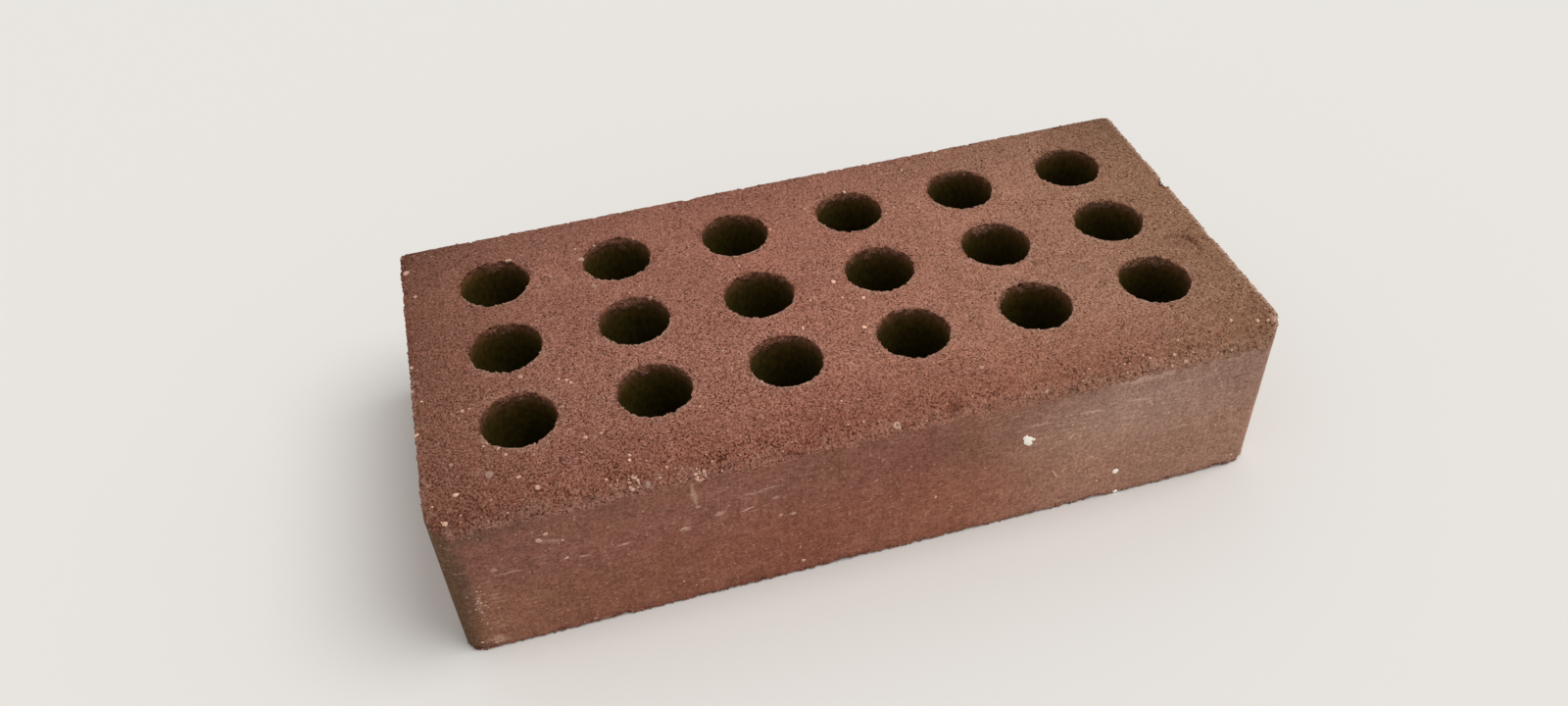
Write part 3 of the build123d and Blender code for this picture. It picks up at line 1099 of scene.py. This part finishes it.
def gritPiece(name, surface, spots, narrowest, rng):
    # One lumpy ball with a flattened top for each grain
    ball = bmesh.new()
    bmesh.ops.create_icosphere(ball, subdivisions=grit["rounds"], radius=1.0)
    ballPoints = [vertex.co.copy() for vertex in ball.verts]
    ballFaces = [[vertex.index for vertex in face.verts] for face in ball.faces]
    ball.free()
    span = grit["noiseSpan"]
    points, faces, shades = [], [], []
    for place, outward, width, shade in spots:
        start = len(points)
        turn = outward.to_track_quat("Z", "Y") @ Quaternion((0, 0, 1), rng.uniform(0, 2 * math.pi))
        narrow = rng.uniform(narrowest, 1.0)
        deep = min(grit["thickness"], width / 2)
        wander = Vector([rng.uniform(-span, span) for axis in range(3)])
        centre = seatedPlace(surface, place, outward, deep)
        for point in ballPoints:
            lump = 1 + grit["bump"] * noise.noise(point * grit["bumpScale"] + wander)
            rise = math.copysign(1 - (1 - abs(point.z)) ** grit["squareness"], point.z)
            points.append(centre + turn @ Vector((
                point.x * width / 2 * lump, point.y * width / 2 * narrow * lump, rise * deep)))
        faces.extend([start + i for i in face] for face in ballFaces)
        shades.extend([shade] * len(ballPoints))
    points = np.clip(np.array(points) * mm, list(low), list(high))
    made = meshObject(name, points, faces)
    made.data.shade_smooth()
    storeMark(made.data, "shade", shades)
    print(name, len(spots), "grains", len(faces), "triangles")
    return made


# Studio: pale floor, a soft key from the right and an even sky
studio = {
    "floorColour": "#e4e1dc",
    "floorRoughness": 0.9,
    "floorSize": 6000,
    "skyColour": "#ffffff",
    "skyStrength": 0.6,
    "keyStrength": 1.6,
    "keyAngle": 40,  # degrees across, which sets how soft the shadow is
    "keyFrom": (0.45, -0.15, 0.85),
    "cameraPlace": (-77.82, -276.96, 296.38),
    "cameraAim": (-17.77, -23.51, 55.0),
    "cameraRoll": -3.25,
    "lens": 29.188,
    "sensor": 36,
    "nearest": 10,  # the camera sees nothing nearer than this
}


def makeStudio():
    scene = bpy.context.scene
    half = studio["floorSize"] / 2 * mm
    corners = [(-half, -half, 0), (half, -half, 0), (half, half, 0), (-half, half, 0)]
    floor = meshObject("floor", corners, [(0, 1, 2, 3)])
    paint = bpy.data.materials.new("floor_paint")
    paint.use_nodes = True
    shader = paint.node_tree.nodes["Principled BSDF"]
    shader.inputs["Base Color"].default_value = linearColour(studio["floorColour"])
    shader.inputs["Roughness"].default_value = studio["floorRoughness"]
    floor.data.materials.append(paint)
    world = bpy.data.worlds.new("sky")
    scene.world = world
    world.use_nodes = True
    background = world.node_tree.nodes["Background"]
    background.inputs["Color"].default_value = linearColour(studio["skyColour"])
    background.inputs["Strength"].default_value = studio["skyStrength"]
    key = linkedObject("key", bpy.data.lights.new("key", "SUN"))
    key.data.energy = studio["keyStrength"]
    key.data.angle = math.radians(studio["keyAngle"])
    key.rotation_mode = "QUATERNION"
    key.rotation_quaternion = Vector(studio["keyFrom"]).to_track_quat("Z", "Y")
    camera = linkedObject("camera", bpy.data.cameras.new("camera"))
    camera.data.lens = studio["lens"]
    camera.data.sensor_width = studio["sensor"]
    camera.data.clip_start = studio["nearest"] * mm
    place = Vector(studio["cameraPlace"]) * mm
    aim = Vector(studio["cameraAim"]) * mm
    turn = (place - aim).to_track_quat("Z", "Y").to_matrix().to_4x4()
    roll = Matrix.Rotation(math.radians(studio["cameraRoll"]), 4, "Z")
    camera.matrix_world = Matrix.Translation(place) @ turn @ roll
    scene.camera = camera
    scene.view_settings.view_transform = "Standard"
    print("studio ready")


makeStudio()
clayMaterial = firedClay()
gritMaterial = limeGrit("lime_grit", lime["colour"], lime["darkest"])
spotMaterial = limeGrit("lime_spot", lime["spotColour"], lime["spotDarkest"])

body = brickBodyPiece()
body.data.materials.append(clayMaterial)
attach(body, brickBody)
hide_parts(brickNode)

grainTree = scatterTree()
for name, sizes in grains.items():
    piece = scattered(name, grainTree, body, sizes, gritMaterial if name == "lime_specks" else clayMaterial)
    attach(piece, brickBody)

claySurface = BVHTree.FromPolygons(
    [vertex.co for vertex in body.data.vertices], [face.vertices for face in body.data.polygons])
gritRng = random.Random(grit["seed"])
spotPlaces = [(*fairFacePlace(x, z), width, 0.0) for x, z, width in grit["limeSpots"]]
for name, spots, narrowest, material in (
        ("single_grit", grainPlaces(gritRng), grit["narrowest"], gritMaterial),
        ("lime_spots", spotPlaces, grit["spotNarrowest"], spotMaterial)):
    piece = gritPiece(name, claySurface, spots, narrowest, gritRng)
    piece.data.materials.append(material)
    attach(piece, brickBody)
